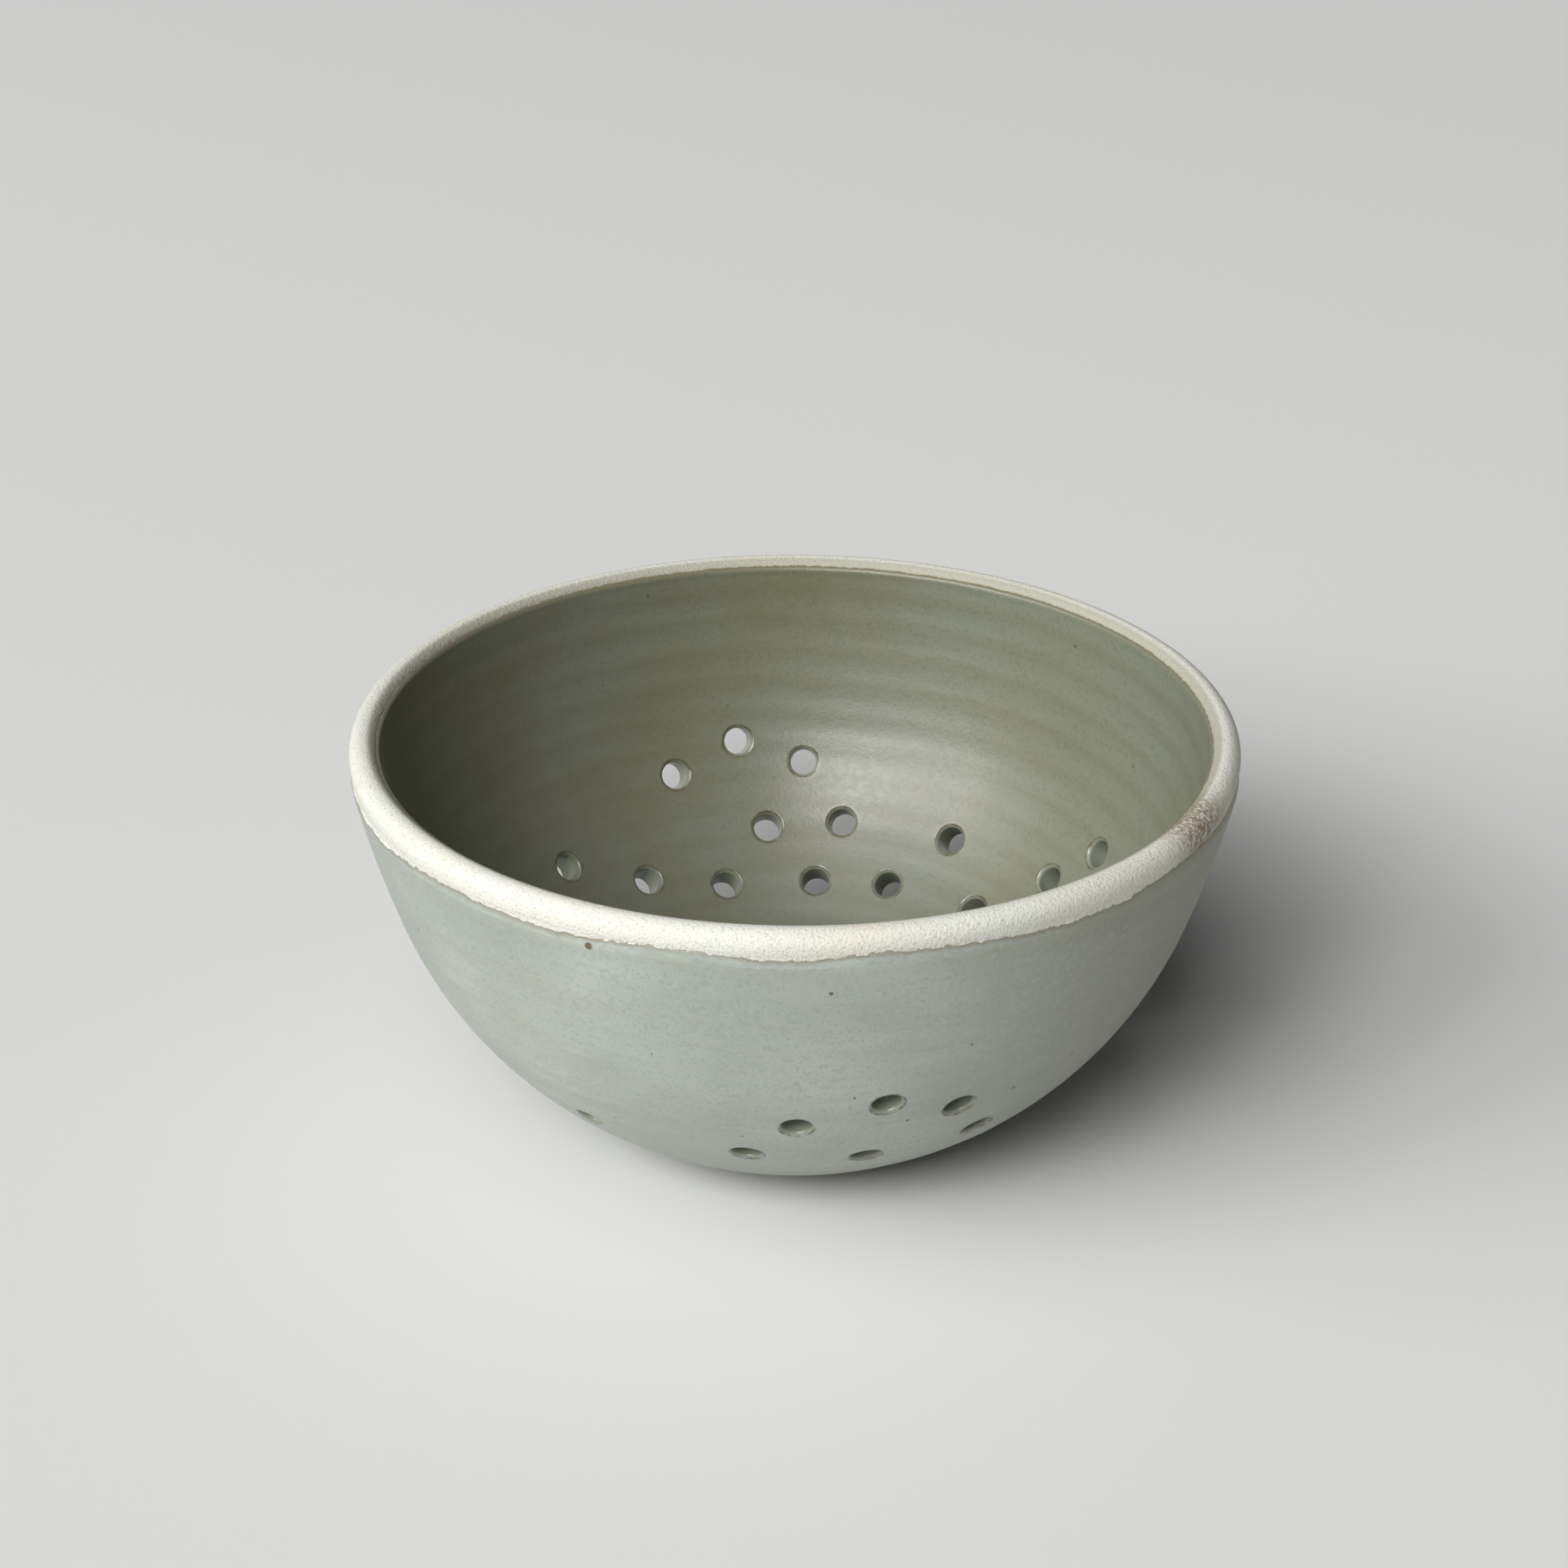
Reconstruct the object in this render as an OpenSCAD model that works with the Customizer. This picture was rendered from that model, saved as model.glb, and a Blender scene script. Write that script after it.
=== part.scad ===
// Berry colander bowl: a wheel-thrown stoneware bowl with a round belly, drilled all over
// for draining. Millimetres, +Z up, origin on the standing plane under the middle of the foot.
// The front of the bowl faces -Y, and azimuths run anticlockwise from there, seen from above.

/* [Bowl] */
// Diameter over the lip
rim_d = 168; // [156:1:180]
// Height from the foot ring to the top of the lip
bowl_h = 81; // [75:0.5:88]
// Thickness of the round lip
lip_t = 5.5; // [4.6:0.1:6.4]
// How far the lip stands out over the upright band below it
lip_overhang = 0.45; // [0.4:0.05:0.7]
// Radius of the soft curve from the lip down to the band
lip_under_r = 6; // [5:0.5:8]
// How far the lip swells inwards over the inside of the wall
lip_swell = 0.1; // [0.06:0.01:0.14]
// Height of the lip and its band together
rim_band_h = 6.5; // [6:0.1:9]

/* [Wall] */
// How far the flank flares out, at the band, over the ball that shapes the belly
flank_flare = 2.7; // [2:0.1:4]
// Radius of the flank's curve, from the belly up to the band
flank_r = 225; // [190:5:280]
// How far the inside flares out, at the lip, over the ball that shapes the hollow
inside_flare = 2.3; // [1.6:0.1:3.2]
// Radius of the flank's curve on the inside
inside_flank_r = 150; // [130:5:200]
// How much thicker the wall grows from the rim to the bottom
wall_swell = 2; // [1:0.1:3]
// Thickness of the clay in the middle of the floor
floor_t = 5; // [4.2:0.1:6]
// Radius of the dished floor
floor_r = 140; // [120:5:180]
// Radius where the floor turns up into the wall
floor_turn_r = 25; // [20:1:28]

/* [Foot] */
// Outer diameter of the trimmed foot ring
foot_d = 58; // [54:1:62]
// Height of the foot ring outside
foot_ring_h = 1.3; // [1:0.1:2]
// Width of the foot ring
foot_ring_w = 5; // [4:0.5:6]
// Depth of the hollow trimmed inside the foot ring
foot_hollow_h = 3; // [2.4:0.1:3.6]
// Radius of the sponged edges of the foot ring
foot_edge_r = 0.6; // [0.3:0.1:0.8]
// Number of drain notches cut across the foot ring
notch_count = 3; // [3:1:5]
// Width of a drain notch
notch_w = 7; // [5:0.5:9]
// Height of a drain notch
notch_h = 1.1; // [0.8:0.1:1.4]

/* [Glaze] */
// Thickness of the glaze coats on the wall
glaze_t = 0.4; // [0.3:0.05:0.55]
// Bare clay outside, from the top of the lip down to the glaze line
outer_bare_h = 5.2; // [4.4:0.1:9]
// Bare clay inside, from the middle of the round lip down to the glaze line
inner_bare_h = 0.6; // [0.6:0.1:3]
// Bare clay on the underside, from the foot ring out to the glaze line
foot_bare_w = 3; // [2:0.5:5]

/* [Drain holes] */
// Clear diameter of a glazed drain hole
hole_d = 5.4; // [4.6:0.1:6]
// Thickness of the glaze that lines a drain hole
lining_t = 0.3; // [0.2:0.05:0.4]
// Depth of the softened edge that is sponged round each drilled mouth
clay_edge_h = 0.9; // [0.7:0.1:1.2]
// Depth of the softened edge of the glaze inside the mouth
glaze_edge_h = 0.5; // [0.3:0.1:0.6]
// Number of floor holes round the middle one
floor_hole_count = 6; // [4:1:7]
// Radius of the ring of floor holes
floor_ring_r = 15; // [13:0.5:16]

/* [Hidden] */

$fn = 96;
profile_fn = 240;
revolve_fn = 180;
// One overrun for every cut that runs past a face
over = 1.5;
// The same for the end angle of an arc, in degrees
over_turn = 10;

// Drain holes in the wall, placed by eye as on a hand-drilled bowl: azimuth in degrees,
// then the height of the outer mouth as a share of the bowl's height
wall_hole_shares = [
  // Front
  [0.5, 0.415], [13.5, 0.485], [25.5, 0.43], [33, 0.30], [13, 0.262], [352, 0.286],
  // Right
  [52, 0.21], [70, 0.30], [84, 0.21], [98, 0.33], [108, 0.21], [113.5, 0.465], [121.5, 0.35],
  // Back
  [135, 0.22], [147.5, 0.34], [158, 0.22], [170.5, 0.338], [175, 0.21], [178.5, 0.475],
  [185.5, 0.323], [190, 0.53], [196, 0.21], [202, 0.465], [214, 0.25],
  // Left
  [230.5, 0.338], [239, 0.21], [256, 0.30], [268, 0.21], [282, 0.31], [300, 0.22], [322, 0.288]
];

rim_r = rim_d/2;
lip_r = lip_t/2;
lip_c = [rim_r - lip_r, bowl_h - lip_r];
foot_r = foot_d/2;
foot_hollow_r = foot_r - foot_ring_w;
hole_r = hole_d/2;
socket_r = hole_r + lining_t;

// Direction at an angle from straight down, and the angle of a direction
function ray(angle) = [sin(angle), -cos(angle)];
function angle_of(v) = atan2(v.x, -v.y);

// Where the circles of radius r0 about c0 and r1 about c1 cross, left of the way from c0 to c1
function crossing(c0, r0, c1, r1) =
  let(
    span = norm(c1 - c0),
    along = (span^2 + r0^2 - r1^2)/(2*span),
    u = (c1 - c0)/span
  )
  c0 + along*u + sqrt(r0^2 - along^2)*[-u.y, u.x];

// Middle, on the axis, of the ball that passes through two points of the profile
function ball_middle(p, q) = [0, (p*p - q*q)/(2*(p.y - q.y))];

// Outside: a ball from the foot ring's shoulder up, then a flank arc that leaves it without
// a kink and ends at the band
flank_top = [rim_r - lip_overhang, bowl_h - rim_band_h];
foot_shoulder = [foot_r, foot_ring_h];
belly_c = ball_middle(flank_top - [flank_flare, 0], foot_shoulder);
belly_r = norm(foot_shoulder - belly_c);
flank_c = crossing(belly_c, flank_r - belly_r, flank_top, flank_r);

// Inside: the same, with the ball's middle higher so that the wall swells downwards
inside_top = [rim_r - lip_t + lip_swell, lip_c.y];
hollow_c = belly_c + [0, wall_swell];
hollow_r = norm(inside_top - [inside_flare, 0] - hollow_c);
inside_flank_c = crossing(hollow_c, inside_flank_r - hollow_r, inside_top, inside_flank_r);

// Floor: a flatter ball, and the turn that blends it into the hollow
floor_c = [0, foot_hollow_h + floor_t + floor_r];
floor_turn_c = crossing(floor_c, floor_r - floor_turn_r, hollow_c, hollow_r - floor_turn_r);

// Angle of the outer mouth of a wall hole whose middle is at the height z
function mouth_angle(z) = acos((belly_c.y - z)/(belly_r + glaze_t));
// Way from an outer mouth back through the wall to the glazed inside
function way_through(mouth, angle) =
  let(
    q = mouth - hollow_c,
    along = q*ray(angle)
  )
  along - sqrt((hollow_r - glaze_t)^2 - q*q + along^2);
// Height of the glazed floor at the distance x from the middle
function floor_top_at(x) = floor_c.y - sqrt((floor_r - glaze_t)^2 - x^2);

// Sector of a disc between two angles
module sector(c, r, a0, a1) {
  reach = 2*r;
  intersection() {
    translate(c) circle(r, $fn = profile_fn);
    polygon([c, c + reach*ray(a0), c + reach*ray((a0 + a1)/2), c + reach*ray(a1)]);
  }
}

// Part of the profile between two distances from the middle and two heights
module window(x0, x1, z0, z1) {
  intersection() {
    translate([x0, z0]) square([x1 - x0, z1 - z0]);
    children();
  }
}

// Everything inside the outside curve, grown outwards. The ball lies within the flank's arc,
// so it may run on past the place where they meet.
module within_outside(grow) {
  window(0, rim_d, -bowl_h, bowl_h)
    translate(belly_c) circle(belly_r + grow, $fn = profile_fn);
  sector(flank_c, flank_r + grow, angle_of(belly_c - flank_c),
    angle_of(flank_top - flank_c) + over_turn);
}

// Everything inside the inside curve, grown outwards. The corner between floor and hollow is
// cut off square to both, and the disc of the turn fills what is left of it.
module within_inside(grow) {
  difference() {
    intersection() {
      translate(floor_c) circle(floor_r + grow, $fn = profile_fn);
      union() {
        translate(hollow_c) circle(hollow_r + grow, $fn = profile_fn);
        sector(inside_flank_c, inside_flank_r + grow, angle_of(hollow_c - inside_flank_c),
          angle_of(inside_top - inside_flank_c) + over_turn);
      }
    }
    polygon([
      floor_turn_c,
      floor_turn_c + hollow_r*ray(angle_of(floor_turn_c - floor_c)),
      floor_turn_c + hollow_r*ray(angle_of(floor_turn_c - hollow_c))
    ]);
  }
  translate(floor_turn_c) circle(floor_turn_r + grow, $fn = profile_fn);
}

module foot_ring_profile() {
  for (x = [foot_hollow_r + foot_edge_r, foot_r - foot_edge_r])
    translate([x, foot_edge_r]) circle(foot_edge_r);
  translate([foot_hollow_r + foot_edge_r, 0])
    square([foot_ring_w - 2*foot_edge_r, foot_hollow_h]);
  translate([foot_hollow_r, foot_edge_r]) square([foot_ring_w, foot_hollow_h]);
}

module lip_profile() {
  window(rim_r - lip_t, rim_r, lip_c.y, bowl_h) translate(lip_c) circle(lip_r);
  window(rim_r - lip_t, lip_c.x, flank_top.y, bowl_h) translate(lip_c) circle(lip_r);
  window(lip_c.x, rim_r, flank_top.y, lip_c.y)
    translate([rim_r - lip_under_r, lip_c.y]) circle(lip_under_r);
}

module clay_profile() {
  difference() {
    union() {
      window(0, flank_top.x, foot_hollow_h, lip_c.y) within_outside(0);
      window(foot_r - foot_edge_r, flank_top.x, foot_edge_r, lip_c.y) within_outside(0);
      foot_ring_profile();
    }
    within_inside(0);
  }
  lip_profile();
}

module outer_glaze_profile() {
  window(foot_r + foot_bare_w, flank_top.x + glaze_t, 0, bowl_h - outer_bare_h)
    difference() {
      within_outside(glaze_t);
      window(0, flank_top.x, -bowl_h, bowl_h) within_outside(0);
      lip_profile();
    }
}

module inner_glaze_profile() {
  window(0, rim_r, 0, lip_c.y - inner_bare_h)
    difference() {
      within_inside(0);
      within_inside(-glaze_t);
    }
}

// Full thickness of the wall with both coats, where the hole linings lie
module coated_profile() {
  window(0, rim_r, foot_hollow_h, bowl_h - rim_band_h)
    difference() {
      within_outside(glaze_t);
      within_inside(-glaze_t);
    }
}

// A drilled hole with softened mouths, along +Z, from the inner mouth at -depth to the outer at 0
module drill(r, edge_h, depth) {
  wide_r = r + edge_h + over;
  rotate_extrude()
    polygon([
      [0, -depth - over], [wide_r, -depth - over], [r, edge_h - depth],
      [r, -edge_h], [wide_r, over], [0, over]
    ]);
}

// All the drain holes: through the wall square to it, and straight down through the floor
module drill_all(r, edge_h) {
  for (hole = wall_hole_shares) {
    angle = mouth_angle(hole[1]*bowl_h);
    mouth = belly_c + (belly_r + glaze_t)*ray(angle);
    rotate([0, 0, hole[0] - 90])
      translate([mouth.x, 0, mouth.y])
        rotate([0, 180 - angle, 0]) drill(r, edge_h, way_through(mouth, angle));
  }
  for (i = [0:floor_hole_count]) {
    x = i == 0 ? 0 : floor_ring_r;
    rotate([0, 0, i*360/floor_hole_count])
      translate([x, 0, foot_hollow_h])
        rotate([0, 180, 0]) drill(r, edge_h, floor_top_at(x) - foot_hollow_h);
  }
}

module foot_notches() {
  for (i = [0:notch_count - 1])
    rotate([0, 0, (i + 1/2)*360/notch_count])
      translate([foot_hollow_r - over, -notch_w/2, -over])
        cube([foot_ring_w + 2*over, notch_w, notch_h + over]);
}

module clay_body() {
  color("#EBE8DA")
    difference() {
      rotate_extrude($fn = revolve_fn) clay_profile();
      foot_notches();
      drill_all(socket_r, clay_edge_h);
    }
}

module outer_glaze() {
  color("#A9B1A6")
    difference() {
      rotate_extrude($fn = revolve_fn) outer_glaze_profile();
      drill_all(socket_r, clay_edge_h);
    }
}

module inner_glaze() {
  color("#8A8B75")
    difference() {
      rotate_extrude($fn = revolve_fn) inner_glaze_profile();
      drill_all(socket_r, clay_edge_h);
    }
}

module drain_hole_glaze() {
  color("#6B6850")
    difference() {
      intersection() {
        rotate_extrude($fn = revolve_fn) coated_profile();
        drill_all(socket_r, clay_edge_h);
      }
      drill_all(hole_r, glaze_edge_h);
    }
}

clay_body();
outer_glaze();
inner_glaze();
drain_hole_glaze();
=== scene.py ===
# Berry colander bowl: a bowl thrown in pale stoneware, drilled for draining and glazed in celadon,
# on a pale studio sweep. Blender works in metres; the dictionaries below give millimetres.
from functools import partial
from math import acos, atan, atan2, cos, pi, radians, sin, sqrt

import bmesh
import bpy
from mathutils import Matrix, Vector


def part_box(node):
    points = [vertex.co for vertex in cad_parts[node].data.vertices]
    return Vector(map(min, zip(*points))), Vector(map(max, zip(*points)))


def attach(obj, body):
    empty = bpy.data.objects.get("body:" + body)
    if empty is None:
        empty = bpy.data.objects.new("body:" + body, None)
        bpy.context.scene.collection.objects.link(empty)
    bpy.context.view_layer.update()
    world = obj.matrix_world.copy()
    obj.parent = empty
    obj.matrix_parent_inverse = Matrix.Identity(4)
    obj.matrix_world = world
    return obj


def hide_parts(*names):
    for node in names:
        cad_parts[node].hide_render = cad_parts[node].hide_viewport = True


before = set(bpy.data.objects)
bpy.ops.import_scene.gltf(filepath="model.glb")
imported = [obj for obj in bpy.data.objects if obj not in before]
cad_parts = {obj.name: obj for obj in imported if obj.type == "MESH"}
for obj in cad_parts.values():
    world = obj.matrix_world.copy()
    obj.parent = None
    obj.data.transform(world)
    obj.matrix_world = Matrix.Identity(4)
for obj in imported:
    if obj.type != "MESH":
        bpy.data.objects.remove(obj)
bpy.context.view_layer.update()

mm = 0.001
onePoint = 1e-6                     # points closer than this, in metres, are one
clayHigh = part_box("clay_body")[1]


def addNode(tree, kind, inputs=(), **settings):
    # a short kind is one of the tree's own sort, or a shader's; inputs come by name or in
    # order, each a value, a socket, or a node, whose first output is meant
    for start in (tree.bl_idname[:-len("Tree")], "ShaderNode"):
        if hasattr(bpy.types, start + kind):
            kind = start + kind
    node = tree.nodes.new(kind)
    for name, value in settings.items():
        setattr(node, name, value)
    for name, value in inputs.items() if isinstance(inputs, dict) else enumerate(inputs):
        if isinstance(value, bpy.types.Node):
            value = value.outputs[0]
        if isinstance(value, bpy.types.NodeSocket):
            tree.links.new(value, node.inputs[name])
        else:
            node.inputs[name].default_value = value
    return node


def linearColour(code):
    # sRGB hex to the linear light that shaders work in
    parts = [int(code[i:i + 2], 16)/255 for i in (1, 3, 5)]
    return tuple(c/12.92 if c <= 0.04045 else ((c + 0.055)/1.055)**2.4 for c in parts) + (1.0,)


def addObject(name, data):
    made = bpy.data.objects.new(name, data)
    bpy.context.scene.collection.objects.link(made)
    return made


# Camera

photo = {
    "pixels": 1814,               # the picture is square
    "focalLength": 4886,          # in those pixels
    "lipCentre": (919.4, 838.1),  # where the middle of the lip lands
    "distance": 798,              # from the camera to the middle of the lip
    "elevation": 25.36,
    "roll": -0.23,
    "filmWidth": 36,
    "nearest": 10,                # nothing closer than this is drawn
}


def makeCamera(settings):
    half = settings["pixels"]/2
    focal = settings["focalLength"]
    tilt = radians(settings["elevation"])
    away = Vector((0, -cos(tilt), sin(tilt)))
    right = Vector((1, 0, 0))
    up = right.cross(-away)
    # the lip's middle is off the picture's centre, so the view turns that far away from it
    pan = atan((settings["lipCentre"][0] - half)/focal)
    dip = atan((settings["lipCentre"][1] - half)/focal)
    ahead = -away*cos(dip) + up*sin(dip)
    up = away*sin(dip) + up*cos(dip)
    ahead, right = ahead*cos(pan) - right*sin(pan), right*cos(pan) + ahead*sin(pan)
    roll = radians(settings["roll"])
    right, up = right*cos(roll) - up*sin(roll), right*sin(roll) + up*cos(roll)

    data = bpy.data.cameras.new("studioCamera")
    data.sensor_width = settings["filmWidth"]
    data.lens = data.sensor_width*focal/settings["pixels"]
    data.clip_start = settings["nearest"]*mm
    camera = addObject("studioCamera", data)
    place = Vector((0, 0, clayHigh[2])) + away*settings["distance"]*mm
    camera.matrix_world = Matrix.Translation(place) @ Matrix(
        (right, up, -ahead)).transposed().to_4x4()
    bpy.context.scene.camera = camera


makeCamera(photo)
print("camera set")


# Studio

studio = {
    "sweep": "#D7D7D6",
    "sweepRoughness": 0.9,
    "sweepShine": 0.1,
    "sweepSize": 12000,
    "sky": "#CFCFCE",  # seen beyond the sweep and in the glaze
    "skyLight": 0.02,  # how much of it falls on the bowl
    "lampDistance": 10000,
    # five wide soft lamps at the front left: degrees round and up, width, height, watts
    "lamps": {
        "frontLamp": (345, 38, 4000, 4000, 455),
        "middleLamp": (328, 36, 4000, 4000, 288),
        "sideLamp": (308, 30, 5000, 4000, 375),
        "leftLamp": (285, 32, 6000, 5000, 295),
        "topLamp": (320, 60, 7000, 7000, 265),
    },
}


def makeStudio(settings):
    scene = bpy.context.scene
    scene.view_settings.view_transform = "Standard"

    mesh = bpy.data.meshes.new("studioFloor")
    half = settings["sweepSize"]*mm/2
    mesh.from_pydata([(-half, -half, 0), (half, -half, 0), (half, half, 0), (-half, half, 0)],
                     [], [(0, 1, 2, 3)])
    floor = addObject("studioFloor", mesh)
    paper = bpy.data.materials.new("studio paper")
    paper.use_nodes = True
    shader = paper.node_tree.nodes["Principled BSDF"]
    shader.inputs["Base Color"].default_value = linearColour(settings["sweep"])
    shader.inputs["Roughness"].default_value = settings["sweepRoughness"]
    shader.inputs["Specular IOR Level"].default_value = settings["sweepShine"]
    mesh.materials.append(paper)

    # the camera and the glaze see a pale room, which gives next to no light
    world = bpy.data.worlds.new("studioSky")
    scene.world = world
    world.use_nodes = True
    tree = world.node_tree
    add = partial(addNode, tree)
    given = tree.nodes["Background"]
    given.inputs["Color"].default_value = linearColour(settings["sky"])
    given.inputs["Strength"].default_value = settings["skyLight"]
    seen = add("Background", {"Color": linearColour(settings["sky"]), "Strength": 1.0})
    rays = add("LightPath").outputs
    sees = add("Math", [rays["Is Camera Ray"], rays["Is Glossy Ray"]], operation="MAXIMUM")
    sees = add("Math", [sees, rays["Is Transmission Ray"]], operation="MAXIMUM")
    mix = add("MixShader", [sees, given, seen])
    tree.links.new(mix.outputs[0], tree.nodes["World Output"].inputs["Surface"])

    for name, (azimuth, elevation, width, height, watts) in settings["lamps"].items():
        light = bpy.data.lights.new(name, "AREA")
        light.shape = "RECTANGLE"
        light.size, light.size_y = width*mm, height*mm
        light.energy = watts
        lamp = addObject(name, light)
        turn, tilt = radians(azimuth), radians(elevation)
        toward = Vector((sin(turn)*cos(tilt), -cos(turn)*cos(tilt), sin(tilt)))
        lamp.location = toward*settings["lampDistance"]*mm
        lamp.rotation_euler = toward.to_track_quat("Z", "Y").to_euler()


makeStudio(studio)
print("studio lit")


# Shape of the bowl, from the middle of the underside round the lip to the middle of the floor

bowl = {
    "lipThickness": 5.5,
    "lipUnderRadius": 6,  # soft curve from the lip down to the band
    "lipOverhang": 0.45,
    "bandHeight": 6.5,    # lip and upright band together
    "flankFlare": 2.7,    # the flank stands out this far over the belly's ball
    "flankRadius": 225,
    "insideFlare": 2.3,
    "insideFlankRadius": 150,
    "wallSwell": 2,       # the wall grows this much thicker towards the bottom
    "floorThickness": 5,
    "floorRadius": 140,
    "floorTurnRadius": 25,
    "footDiameter": 58,
    "footRingHeight": 1.3,
    "footRingWidth": 5,
    "footHollow": 3,
    "footEdgeRadius": 0.6,
    "segments": 360,
    "clayStep": 3.1,      # between rings of faces, wider where glaze hides them
    "glazeStep": 1.7,
    "lineStep": 0.36,     # near the glaze lines and on the lip
    "edgeStep": 0.2,      # on the foot ring's edges
    "fineReach": 1,       # the finer steps go on this far past them
}


def ray(angle):
    # a direction in the profile, by its angle from straight down
    return Vector((sin(angle), -cos(angle)))


def angleOf(v):
    return atan2(v.x, -v.y)


def crossing(c0, r0, c1, r1):
    # where two circles cross, left of the way from the first centre to the second
    span = (c1 - c0).length
    along = (span**2 + r0**2 - r1**2)/(2*span)
    u = (c1 - c0)/span
    return c0 + along*u + sqrt(r0**2 - along**2)*Vector((-u.y, u.x))


def arc(centre, radius, start, end, step=0.05):
    # points along an arc, both ends with it
    count = max(2, round(abs(end - start)*radius/step))
    return [centre + radius*ray(start + (end - start)*i/count) for i in range(count + 1)]


def straight(p, q, step=0.05):
    count = max(1, round((q - p).length/step))
    return [p.lerp(q, i/count) for i in range(count + 1)]


def bowlCurves(b):
    # centres of the arcs that shape the wall
    rim, height, lip = clayHigh[0]/mm, clayHigh[2]/mm, b["lipThickness"]/2
    c = {"rim": rim, "height": height, "lip": Vector((rim - lip, height - lip))}
    c["foot"] = b["footDiameter"]/2
    c["flankTop"] = Vector((rim - b["lipOverhang"], height - b["bandHeight"]))
    c["shoulder"] = Vector((c["foot"], b["footRingHeight"]))
    edge = c["flankTop"] - Vector((b["flankFlare"], 0))
    rise = 2*(edge.y - c["shoulder"].y)
    c["belly"] = Vector((0, (edge.dot(edge) - c["shoulder"].dot(c["shoulder"]))/rise))
    c["bellyRadius"] = (c["shoulder"] - c["belly"]).length
    c["flank"] = crossing(c["belly"], b["flankRadius"] - c["bellyRadius"],
                          c["flankTop"], b["flankRadius"])
    c["insideTop"] = Vector((rim - b["lipThickness"], c["lip"].y))
    c["hollow"] = c["belly"] + Vector((0, b["wallSwell"]))
    c["hollowRadius"] = (c["insideTop"] - Vector((b["insideFlare"], 0)) - c["hollow"]).length
    c["insideFlank"] = crossing(c["hollow"], b["insideFlankRadius"] - c["hollowRadius"],
                                c["insideTop"], b["insideFlankRadius"])
    c["floor"] = Vector((0, b["footHollow"] + b["floorThickness"] + b["floorRadius"]))
    c["turn"] = crossing(c["floor"], b["floorRadius"] - b["floorTurnRadius"],
                         c["hollow"], c["hollowRadius"] - b["floorTurnRadius"])
    return c


curves = bowlCurves(bowl)


def outsidePoints(b, c, grow=0):
    # underside, foot ring, belly, flank and the soft curve under the lip
    edge, inner, ceiling = b["footEdgeRadius"], c["foot"] - b["footRingWidth"], b["footHollow"]
    foot = straight(Vector((0, ceiling)), Vector((inner - edge, ceiling)))
    foot += arc(Vector((inner - edge, ceiling - edge)), edge, pi, pi/2)
    foot += arc(Vector((inner + edge, edge)), edge, -pi/2, 0)
    foot += arc(Vector((c["foot"] - edge, edge)), edge, 0, pi/2)
    wall = arc(c["belly"], c["bellyRadius"] + grow, angleOf(c["shoulder"] - c["belly"]),
               angleOf(c["belly"] - c["flank"]))
    wall += arc(c["flank"], b["flankRadius"] + grow, angleOf(c["belly"] - c["flank"]),
                angleOf(c["flankTop"] - c["flank"]))
    under = Vector((c["rim"] - b["lipUnderRadius"], c["lip"].y))
    turn = acos(1 - b["lipOverhang"]/b["lipUnderRadius"])
    return foot, wall, arc(under, b["lipUnderRadius"], pi/2 - turn, pi/2)


def insidePoints(b, c, grow=0):
    # lip, then the inside down to the middle of the floor
    lip = arc(c["lip"], b["lipThickness"]/2, pi/2, 3*pi/2)
    rows = arc(c["insideFlank"], b["insideFlankRadius"] + grow,
               angleOf(c["insideTop"] - c["insideFlank"]), angleOf(c["hollow"] - c["insideFlank"]))
    rows += arc(c["hollow"], c["hollowRadius"] + grow, angleOf(c["hollow"] - c["insideFlank"]),
                angleOf(c["turn"] - c["hollow"]))
    rows += arc(c["turn"], b["floorTurnRadius"] + grow, angleOf(c["turn"] - c["hollow"]),
                angleOf(c["turn"] - c["floor"]))
    rows += arc(c["floor"], b["floorRadius"] + grow, angleOf(c["turn"] - c["floor"]), 0)
    return lip, rows


def thinned(points, spacing):
    # keeps the points that lie as far apart as the spacing asks there, and both ends
    kept, run = [points[0]], 0
    for p, q in zip(points, points[1:]):
        run += (q - p).length
        if run >= spacing(q):
            kept.append(q)
            run = 0
    if (points[-1] - kept[-1]).length < spacing(points[-1])/2:
        kept.pop()
    return kept + [points[-1]]


def profileMesh(name, points, inside, along=None):
    # a line of points in the XZ plane, with how far along it each lies and which side it is on
    mesh = bpy.data.meshes.new(name)
    mesh.from_pydata([(p.x*mm, 0, p.y*mm) for p in points],
                     [(i, i + 1) for i in range(len(points) - 1)], [])
    if not along:
        along = [0]
        for p, q in zip(points, points[1:]):
            along.append(along[-1] + (q - p).length)
    for label, values in (("along", along), ("inside", inside)):
        attribute = mesh.attributes.new(label, "FLOAT", "POINT")
        for i, value in enumerate(values):
            attribute.data[i].value = value*(mm if label == "along" else 1)
    return mesh


def bowlProfile(name, step):
    b, c = bowl, curves
    foot, wall, under = outsidePoints(b, c)
    lip, rows = insidePoints(b, c)

    def spacing(p):
        more = b["fineReach"]
        if c["foot"] - b["footRingWidth"] - more < p.x < c["foot"] + more:
            return b["edgeStep"]
        if (p.y > c["height"] - b["bandHeight"] - 2*more
                or (p.x > c["foot"] and p.y < b["footHollow"] + more)):
            return b["lineStep"]
        return step
    outside = thinned(foot + wall + under, spacing)
    rest = thinned(lip + rows, spacing)[1:]
    top = c["height"] - b["lipThickness"]/2
    shares = [0]*len(outside)
    # the side changes over the round of the lip
    for p in rest:
        share = angleOf(p - c["lip"])/pi - 0.5 if p.y > top else 1
        shares.append(min(share, 1) if share >= 0 else 1)
    return profileMesh(name, outside + rest, shares)


# Steps that build the pieces, as Geometry Nodes

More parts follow.
